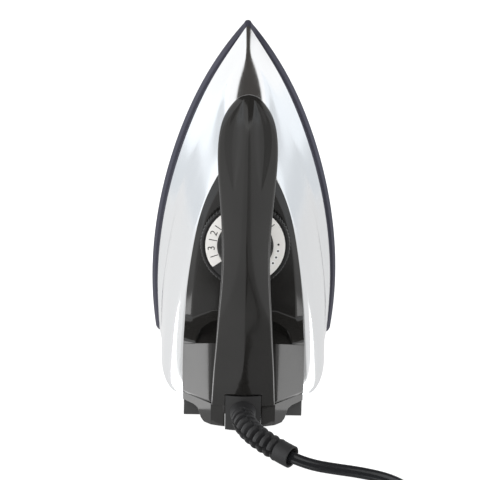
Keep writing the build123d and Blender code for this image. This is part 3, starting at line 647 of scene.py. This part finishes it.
def saddle_height(x, y, half, flat_half):
    """Heights across the saddle at y: its deck, its column at the back and the niches between them."""
    side = np.abs(x)
    edge = (half - side) / max(half - flat_half, 0.5)
    deck = soft_low(DECK_Z + 0.4 + (PLATEAU_Z - DECK_Z) * edge, PLATEAU_Z + 0.0 * side, 0.35)
    if y >= RAMP[-1][0]:
        return deck
    slope = (SEAT_Z - SHOULDER_OUT[1]) / (SHOULDER_OUT[0] - COLUMN_HALF)
    column = soft_low(SEAT_Z - (side - COLUMN_HALF) * slope, SEAT_Z + 0.0 * side, 0.8)
    if y <= COLUMN_END_Y:
        return column
    ramp = np.interp(y, [p[0] for p in RAMP], [p[1] for p in RAMP])
    fall = soft_low(column, ramp + 0.0 * side, 1.6)
    ahead = (y - NICHE["y"]) / NICHE["half_y"]
    reach = np.sqrt(((side - NICHE["x"]) / NICHE["half_x"]) ** 2 + ahead ** 2)
    reach = np.where(side < NICHE["x"], abs(ahead), reach)
    niche = NICHE["floor"] + NICHE["rise"] * reach ** 2
    inside = 1.0 - smooth_step((reach - 0.80) / 0.20)
    scooped = fall + (np.minimum(niche, fall) - fall) * inside
    blend = smooth_step((y - 57.0) / 4.0)
    return np.maximum(scooped * (1 - blend) + deck * blend, np.minimum(deck, PLATEAU_Z))


def saddle():
    """The moulding under the handle: a plateau, two shoulders and the scooped front of its column."""
    edge, flat = plan_outline(SADDLE_EDGE), plan_outline(PLATEAU)
    stations = list(np.linspace(PARTING_Y, COLUMN_END_Y - 0.3, 24)) + [COLUMN_END_Y]
    stations += list(np.linspace(COLUMN_END_Y + 0.1, 61.0, 48)) + list(np.linspace(62.0, 150.0, 60))
    stations += list(np.linspace(151.5, SADDLE_EDGE["tip"] - 0.15, 26))
    across = np.sin(np.linspace(-0.5, 0.5, 121) * math.pi)
    rows = []
    for y in stations:
        half = half_width(edge, y)
        flat_half = min(half_width(flat, y), half - 0.1) if y < PLATEAU["tip"] else -4.0
        x = across * half
        z = saddle_height(x, y, half, flat_half)
        z = np.maximum(z, DECK_Z + 0.3)
        fade = smooth_step((y - PARTING_Y) / 20.0) * (1.0 - smooth_step((y - 56.0) / 16.0))
        at_y = y - SWEEP * fade * np.maximum(0.0, np.abs(x) - COLUMN_HALF)
        rows.append([stood(-half, at_y[0], DECK_Z)] + [stood(a, b, c) for a, b, c in zip(x, at_y, z)]
                    + [stood(half, at_y[-1], DECK_Z)])
    obj = lofted("saddle_moulding", rows, wrap=False, caps=(False, False), sharp=42.0)
    wall = obj.modifiers.new("wall", "SOLIDIFY")
    wall.thickness = SADDLE_WALL * MM
    wall.offset = -1.0
    applied(obj)
    cut(obj, block_notch(57.8, 90.0),
        round_piece("spindle_hole", DIAL_Y, 8.5, DECK_Z - 6.0, PLATEAU_Z + 2.0))
    return place(obj, "body", "black_gloss", GLOSS_BLACK, "saddle")


def round_piece(name, y, radius, z0, z1, x=0.0, sides=64):
    """An upright round bar in the ironing frame, used to cut other pieces."""
    turn = [2 * math.pi * i / sides for i in range(sides)]
    return lofted(name, [[stood(x + radius * math.cos(a), y + radius * math.sin(a), z) for a in turn]
                         for z in (z0, z1)])


saddle()

# ---------------------------------------------------------------- handle
SEAM_GAP = 0.25
EDGE_RADIUS = 1.3
EDGE_RISE = 1.1
SCOOP_FROM, SCOOP_TO = 147.0, 196.0
SCOOP_WIDE_Y = 180.0
SCOOP_DEPTH = 2.1
SCOOP_RIDGE = 1.5
SCOOP_RIM = 1.3
SQUARENESS = (0.93, 0.75)    # of the underside's section, at the root and ahead of it
UNDERSIDE_POINTS = 49
PILLAR_STEPS = 32
FOOT_SPREAD, FOOT_SPREAD_LONG, FOOT_FADE = 0.55, 0.25, 14.0


def handle_stations():
    """The stations smoothed along the handle, closer together at the nose."""
    table = smooth_through(HANDLE_STATIONS, 151)
    table[:, 0] = np.maximum.accumulate(table[:, 0])
    return table


def scoop_depth(x, y, half):
    """Thumb scoops on either side of the ridge: wide near the nose, narrowing to a point behind."""
    if not SCOOP_FROM < y < SCOOP_TO:
        return 0.0 * x
    if y < SCOOP_WIDE_Y:
        along = math.sin(0.5 * math.pi * (y - SCOOP_FROM) / (SCOOP_WIDE_Y - SCOOP_FROM))
    else:
        along = math.sqrt(1.0 - ((y - SCOOP_WIDE_Y) / (SCOOP_TO - SCOOP_WIDE_Y)) ** 2)
    outer = max(half - SCOOP_RIM, SCOOP_RIDGE + 0.4)
    centre = SCOOP_RIDGE + (outer - SCOOP_RIDGE) * 0.46
    reach = np.where(np.abs(x) > centre, outer - centre, centre - SCOOP_RIDGE) * along
    off = np.clip(np.abs(np.abs(x) - centre) / np.maximum(reach, 0.2), 0.0, 1.0)
    return SCOOP_DEPTH * along * min(1.0, (outer - SCOOP_RIDGE) / 8.0) * np.cos(0.5 * math.pi * off) ** 2


def handle_upper():
    """The grip's top: a low roof with a ridge, rounded edges and two thumb scoops."""
    rows = []
    across = np.sin(np.linspace(-0.5, 0.5, 97) * math.pi)
    for y, half, top, crown, _ in handle_stations():
        seam = top - crown
        x = across * half
        share = np.sqrt((np.abs(x) / half) ** 2 + 0.03 ** 2)
        rise = min(EDGE_RISE, 0.5 * crown)
        height = rise + (crown - rise) * (1.0 - (0.62 * share + 0.38 * share ** 2))
        radius = min(EDGE_RADIUS, 0.45 * half)
        over = np.clip((np.abs(x) - (half - radius)) / radius, 0.0, 1.0)
        z = seam + height * np.sqrt(1.0 - over ** 2) - scoop_depth(x, y, half)
        under = [(a * (half - 0.2), seam + 0.0 * a) for a in (1.0, 0.5, 0.0, -0.5, -1.0)]
        rows.append([stood(a, y, b) for a, b in zip(x, z)] + [stood(a, y, b) for a, b in under])
    obj = lofted("handle_grip_top", rows, sharp=55.0)
    cut(obj, block_notch(57.0, 92.0))
    return place(obj, "body", "black_gloss", GLOSS_BLACK, "handle_upper")


def handle_lower():
    """The grip's underside and the slender pillar under its nose."""
    rows = []
    for y, half, top, crown, bottom in handle_stations():
        seam = top - crown - SEAM_GAP
        root = 1.0 - smooth_step((y - 20.0) / 60.0)
        square = SQUARENESS[1] + (SQUARENESS[0] - SQUARENESS[1]) * root
        power = 2.0 * -math.log(square) / math.log(2.0)
        turn = np.linspace(0.0, math.pi, UNDERSIDE_POINTS)
        x = half * np.sign(np.cos(turn)) * np.abs(np.cos(turn)) ** power
        z = seam - (seam - bottom) * np.abs(np.sin(turn)) ** power
        rows.append([stood(a, y, b) for a, b in zip(x, z)]
                    + [stood(a * half, y, seam) for a in (-0.5, 0.0, 0.5)])
    grip = lofted("grip", rows, sharp=50.0)
    foot_y, foot_half, foot_length = PILLAR_FOOT
    head_y, head_half, head_length = PILLAR_HEAD
    pillar_rows = []
    for k in range(PILLAR_STEPS + 1):
        t = k / PILLAR_STEPS
        z = PLATEAU_Z + (PILLAR_HEAD_Z - PLATEAU_Z) * t
        y = foot_y + (head_y - foot_y) * t
        flare = 1.0 + FOOT_SPREAD * math.exp(-t * FOOT_FADE)
        half = (foot_half + (head_half - foot_half) * t ** 1.6) * flare
        spread_long = 1.0 + FOOT_SPREAD_LONG * math.exp(-t * FOOT_FADE)
        length = (foot_length + (head_length - foot_length) * t) * spread_long
        pillar_rows.append([stood(half * math.cos(a), y + length * math.sin(a), z)
                            for a in np.linspace(0.0, 2 * math.pi, 64, endpoint=False)])
    pillar = lofted("pillar", pillar_rows, sharp=50.0)
    obj = joined("handle_grip_lower", [grip, pillar])
    cut(obj, block_notch(57.0, 92.0))
    return place(obj, "body", "black_gloss", GLOSS_BLACK, "handle_lower")


handle_upper()
handle_lower()

# ---------------------------------------------------------------- dial
DIAL_R = 24.8
SERRATIONS = 72
SERRATION_DEPTH = 0.42
SCALE_OUTER_R, SCALE_INNER_R = 21.9, 15.4
SCALE_TOP_Z = 54.9
SCALE_GAP = (215.0, 259.0)             # degrees, from X towards the tip
SEPARATORS = (145.4, 170.0, 199.7, 38.5)
HEAT_DOTS = (3.0, -8.8, -20.8, -32.6, -44.0)
DOT_R, DOT_RING_R, DOT_AT_R = 0.60, 1.15, 18.2
NUMERALS = (("1", 118.0), ("2", 157.5), ("3", 184.8))
NUMERAL_SIZE = 5.6


def on_dial(radius, angle, z):
    """A point on the dial by radius and angle in radians."""
    return stood(radius * math.cos(angle), DIAL_Y + radius * math.sin(angle), z)


def dial_body():
    """The turned knob: a hub, a serrated skirt with rounded edges and a recessed seat."""
    turn = np.linspace(0.0, 2 * math.pi, SERRATIONS * 8, endpoint=False)
    teeth = 0.5 - 0.5 * np.cos(SERRATIONS * turn)
    # radius, z, share of the serrations' depth
    profile = [(3.1, 46.4, 0.0), (8.0, 46.4, 0.0), (8.0, 50.9, 0.0), (23.6, 50.9, 0.0), (24.5, 51.1, 0.5),
               (24.75, 51.5, 1.0), (DIAL_R, 52.0, 1.0), (DIAL_R, 53.4, 1.0), (24.72, 53.8, 1.0),
               (24.5, 54.1, 0.7), (24.15, 54.32, 0.3), (23.8, DIAL_TOP_Z, 0.0), (22.4, DIAL_TOP_Z, 0.0),
               (22.2, 54.25, 0.0), (22.0, DIAL_TOP_Z, 0.0), (3.1, DIAL_TOP_Z, 0.0), (3.1, 46.4, 0.0)]
    rows = [[on_dial(r - SERRATION_DEPTH * cut_in * tooth, a, z) for a, tooth in zip(turn, teeth)]
            for r, z, cut_in in profile]
    obj = lofted("dial_knob", rows, caps=(False, False), sharp=50.0)
    return place(obj, "dial", "black_satin", DIAL_BLACK, "temperature_dial")


def annulus(name, inner, outer, start, end, z0, z1, steps=150):
    """A flat ring segment between two angles in degrees, with softened corners."""
    turn = np.radians(np.linspace(start, end, steps))
    corner = 0.35
    section = [(inner, z0), (outer, z0), (outer, z1 - 0.12), (outer - 0.12, z1), (inner + 0.12, z1),
               (inner, z1 - 0.12)]
    rows = []
    for k, a in enumerate(turn):
        ends = min(k, steps - 1 - k)
        pinch = (0.0, 0.55, 0.85)[ends] if ends < 3 else 1.0
        middle = (inner + outer) / 2
        squeeze = 1.0 - corner / (outer - inner) * 2 * (1 - pinch)
        rows.append([on_dial(middle + (r - middle) * squeeze, a, z) for r, z in section])
    return lofted(name, rows, sharp=40.0)


def dial_ring():
    """The silver scale ring, open where the scale has its gap."""
    obj = annulus("dial_scale", SCALE_INNER_R, SCALE_OUTER_R, SCALE_GAP[1] - 360.0, SCALE_GAP[0],
                  DIAL_TOP_Z - 0.1, SCALE_TOP_Z)
    return place(obj, "dial", "silver_print", SILVER_PRINT, "dial_scale_ring")


def disc(name, centre_r, angle, radius, z0, z1, hole=0.0):
    """A small printed dot, or a ring when it has a hole."""
    cx, cy = centre_r * math.cos(angle), DIAL_Y + centre_r * math.sin(angle)
    turn = np.linspace(0.0, 2 * math.pi, 28, endpoint=False)
    radii = [(hole, z0), (radius, z0), (radius, z1), (hole, z1)] if hole else [(radius, z0), (radius, z1)]
    rows = [[stood(cx + r * math.cos(a), cy + r * math.sin(a), z) for a in turn] for r, z in radii]
    if hole:
        return lofted(name, rows + [rows[0]], caps=(False, False), sharp=40.0)
    return lofted(name, rows, sharp=40.0)


def numeral(text, angle_degrees, z):
    """A plain numeral as a thin raised print, its foot towards the dial's axis."""
    data = bpy.data.curves.new("numeral", "FONT")
    data.body = text
    data.size = NUMERAL_SIZE * MM
    data.extrude = 0.03 * MM
    data.align_x = "CENTER"
    data.align_y = "CENTER"
    source = bpy.data.objects.new("numeral", data)
    bpy.context.scene.collection.objects.link(source)
    mesh = bpy.data.meshes.new_from_object(source.evaluated_get(bpy.context.evaluated_depsgraph_get()))
    bpy.data.objects.remove(source)
    angle = math.radians(angle_degrees)
    outward = Vector((math.cos(angle), 0.0, math.sin(angle)))
    sideways = Vector((math.sin(angle), 0.0, -math.cos(angle)))
    facing = Vector((0.0, -1.0, 0.0))
    basis = Matrix((sideways, outward, facing)).transposed().to_4x4()
    basis.translation = on_dial(DOT_AT_R + 0.3, angle, z)
    mesh.transform(basis)
    obj = bpy.data.objects.new("numeral", mesh)
    bpy.context.scene.collection.objects.link(obj)
    return obj


def dial_marks():
    """Generic heat marks: separators, numerals and a row of ringed dots."""
    top = SCALE_TOP_Z + 0.05
    black = [annulus("separator", SCALE_INNER_R + 0.2, SCALE_OUTER_R - 1.5, degrees - 0.75, degrees + 0.75,
                     SCALE_TOP_Z - 0.05, top, 8) for degrees in SEPARATORS]
    black += [disc("dot", DOT_AT_R, math.radians(a), DOT_R, SCALE_TOP_Z - 0.05, top + 0.02)
              for a in HEAT_DOTS]
    black += [numeral(text, angle, SCALE_TOP_Z + 0.03) for text, angle in NUMERALS]
    place(joined("dial_marks", black), "dial", "black_satin", INK_BLACK)
    white = [disc("halo", DOT_AT_R, math.radians(a), DOT_RING_R, SCALE_TOP_Z - 0.05, top, DOT_R)
             for a in HEAT_DOTS[1:]]
    place(joined("dial_halos", white), "dial", "silver_print", INK_WHITE)


def dial_cap():
    """The gloss centre disc, slightly crowned, with a rounded edge."""
    profile = [(14.9, 54.2), (15.1, 54.5), (15.1, 55.2), (14.95, 55.5), (14.5, 55.72), (13.6, 55.82)]
    profile += [(13.6 * (1 - k / 8), 55.82 + 0.25 * (1 - (1 - k / 8) ** 2)) for k in range(1, 8)]
    turn = np.linspace(0.0, 2 * math.pi, 96, endpoint=False)
    rows = [[on_dial(r, a, z) for a in turn] for r, z in profile]
    obj = lofted("dial_centre_cap", rows, sharp=50.0)
    return place(obj, "dial", "black_gloss", GLOSS_BLACK, "dial_cap")


dial_body()
dial_ring()
dial_marks()
dial_cap()

# ---------------------------------------------------------------- edges of the CAD mouldings
SOFTENED = {"rear_cover": 0.45, "heel_feet": 1.8, "cord_inlet_block": 0.6, "soleplate": 0.25,
            "plug_blades": 0.3}


def soften(node, width):
    """Welds the node's split corners and gives its edges a small radius."""
    weld = NODES[node].modifiers.new("weld", "WELD")
    weld.merge_threshold = 2e-6
    return rounded(NODES[node], width)


for node_name, width in SOFTENED.items():
    soften(node_name, width)


# ---------------------------------------------------------------- looks of the carried-over CAD
CARRIED = {
    "soleplate": SOLE_COAT, "heating_element": SHEATH, "heat_shield": STEEL, "thermostat_frame": STEEL,
    "thermostat_screws": STEEL, "ceramic_stack": CERAMIC, "bimetal_strip": STEEL,
    "contact_spring": BRASS, "fixed_contact_blade": BRASS, "spindle_bush": BRASS,
    "dial_spindle": BRASS, "regulating_leaf": STEEL, "dial_felt_washer": FELT,
    "terminal_block": CERAMIC, "terminal_screws": BRASS, "mains_cores": CORD_PVC,
    "element_seals": CERAMIC, "element_pins": STEEL, "lead_live": SLEEVE, "lead_neutral": SLEEVE,
    "thermal_fuse": CERAMIC, "lead_fuse": SLEEVE, "lead_link": SLEEVE, "tie_studs": STEEL,
    "tie_nuts": STEEL, "handle_screws": STEEL, "rear_cover_screws": STEEL,
    "rear_cover": GLOSS_BLACK, "heel_feet": SATIN_BLACK, "cord_inlet_block": SATIN_BLACK,
    "plug_body": SATIN_BLACK, "plug_blades": BLADE_METAL,
}
for node_name, material in CARRIED.items():
    carried = NODES[node_name]
    carried.data.materials.clear()
    carried.data.materials.append(material)


# ---------------------------------------------------------------- floor and light
def stage_panel(name, centre, normal, width, height, shade, glow=0.0, tint=(1.0, 1.0, 1.0), seen=False):
    """A flat studio panel facing a direction: a bounce board or a soft box's face."""
    toward = Vector(normal).normalized()
    turn = toward.to_track_quat("Z", "Y").to_matrix()
    corners = [Vector(centre) + turn @ Vector((x * width / 2, y * height / 2, 0.0))
               for x, y in ((-1, -1), (1, -1), (1, 1), (-1, 1))]
    return stage_sheet(name, corners, shade, glow, tint, seen)


def stage_sheet(name, corners, shade, glow, tint, seen):
    """A four-cornered sheet of the studio, with its own evenly lit face."""
    mesh = bpy.data.meshes.new(name)
    mesh.from_pydata([tuple(c) for c in corners], [], [(0, 1, 2, 3)])
    obj = bpy.data.objects.new(name, mesh)
    bpy.context.scene.collection.objects.link(obj)
    surface = bpy.data.materials.new(name)
    surface.use_nodes = True
    shader = surface.node_tree.nodes["Principled BSDF"]
    shader.inputs["Base Color"].default_value = (shade, shade, shade, 1.0)
    shader.inputs["Roughness"].default_value = 0.9
    shader.inputs["Specular IOR Level"].default_value = 0.1
    shader.inputs["Emission Color"].default_value = (*tint, 1.0)
    shader.inputs["Emission Strength"].default_value = glow
    mesh.materials.append(surface)
    obj.visible_camera = seen
    return obj


def area_light(name, place_at, aim_at, width, height, power):
    """A rectangular lamp at a place, turned towards a point."""
    data = bpy.data.lights.new(name, "AREA")
    data.shape = "RECTANGLE"
    data.size = width
    data.size_y = height
    data.energy = power
    obj = bpy.data.objects.new(name, data)
    bpy.context.scene.collection.objects.link(obj)
    obj.location = place_at
    obj.rotation_mode = "QUATERNION"
    obj.rotation_quaternion = (Vector(aim_at) - Vector(place_at)).to_track_quat("-Z", "Y")
    return obj


TENT_GLOW = 1.12
BOARD_X = 1.3                        # cooler boards at the sides, metres
FLAG_Z = 0.80                        # the dark ceiling
FLAG_LEFT, FLAG_RIGHT = -0.82, 1.30  # it reaches further to the right
FLAG_NEAR, FLAG_FAR = -0.50, 0.95
SLOPE_FOOT_LEFT, SLOPE_FOOT_RIGHT = (-0.12, -1.05, 0.16), (1.0, -1.05, 0.16)
SIDE_TINT = (0.94, 0.985, 1.03)
FLAG_TINT = (1.0, 0.86, 0.74)
FLOOR_SHADE, FLOOR_GLOW = 0.30, 0.93
FLOOR_SIZE, FLOOR_Z = 14.0, -0.0005
FILL_AT, FILL_AIM, FILL_POWER = (-0.5, -1.5, 1.1), (0, 0, 0.08), 18.0
WHITE = (1.0, 1.0, 1.0)
SHEET_GAP = 0.0004                   # floor sheets that only reflections see lie this far apart
# y from and to, z from and to, then the left and the right board's glow
SIDE_BOARDS = [(0.10, 1.90, 0.0, 0.24, 0.70, 0.64), (-0.90, 1.90, 0.24, 0.50, 1.12, 0.94),
               (-0.90, 0.10, 0.0, 0.24, 1.12, 0.94)]
# On each side: the left and the right sheet's glow, then its corners (x, y) on the right.
FLOOR_SHEETS = [(0.80, 0.72, [(0.045, 1.2), (1.25, 1.2), (1.25, -1.25), (0.045, -1.25)]),
                (0.62, 0.30, [(0.0, -0.018), (0.06, -0.018), (0.75, -1.25), (0.0, -1.25)]),
                (4.5, 3.0, [(0.038, 0.007), (0.24, 0.007), (0.24, -0.017), (0.038, -0.017)])]


def reflected_only(obj):
    """A card that shows in glossy surfaces alone: it throws no shadow and is not seen."""
    obj.visible_diffuse = False
    obj.visible_shadow = False
    obj.visible_transmission = False
    obj.visible_volume_scatter = False
    return obj


def dark_side():
    """The dark camera side: a ceiling and its slope down to the front."""
    sheets = [[(FLAG_LEFT, FLAG_NEAR, FLAG_Z), (FLAG_RIGHT, FLAG_NEAR, FLAG_Z),
               (FLAG_RIGHT, FLAG_FAR, FLAG_Z), (FLAG_LEFT, FLAG_FAR, FLAG_Z)],
              [SLOPE_FOOT_LEFT, SLOPE_FOOT_RIGHT, (FLAG_RIGHT, FLAG_NEAR, FLAG_Z),
               (FLAG_LEFT, FLAG_NEAR, FLAG_Z)]]
    for corners in sheets:
        reflected_only(stage_sheet("dark_flag", corners, 0.02, 0.035, FLAG_TINT, False))


def studio():
    """A white light tent with cooler side boards, a dark camera side and a pale floor."""
    world = bpy.data.worlds.new("studio")
    world.use_nodes = True
    background = world.node_tree.nodes["Background"]
    background.inputs["Color"].default_value = (1.0, 1.0, 1.0, 1.0)
    background.inputs["Strength"].default_value = TENT_GLOW
    bpy.context.scene.world = world
    stage_panel("floor", (0.0, 0.0, FLOOR_Z), (0, 0, 1), FLOOR_SIZE, FLOOR_SIZE, FLOOR_SHADE, FLOOR_GLOW,
                seen=True)
    dark_side()
    for y0, y1, z0, z1, left_glow, right_glow in SIDE_BOARDS:
        for side, glow in ((-1, left_glow), (1, right_glow)):
            stage_panel("side_board", (side * BOARD_X, (y0 + y1) / 2, (z0 + z1) / 2), (-side, 0, 0), y1 - y0,
                        z1 - z0, 0.1, glow, SIDE_TINT)
    for layer, (left_glow, right_glow, outline) in enumerate(FLOOR_SHEETS):
        for side, glow in ((-1, left_glow), (1, right_glow)):
            corners = [(side * x, y, SHEET_GAP * (layer + 1)) for x, y in outline]
            reflected_only(stage_sheet("floor_sheet", corners, 0.05, glow, WHITE, False))
    fill = area_light("front_fill", FILL_AT, FILL_AIM, 1.4, 1.0, FILL_POWER)
    fill.visible_glossy = False
    fill.visible_camera = False
    bpy.context.scene.view_settings.view_transform = "Standard"


studio()
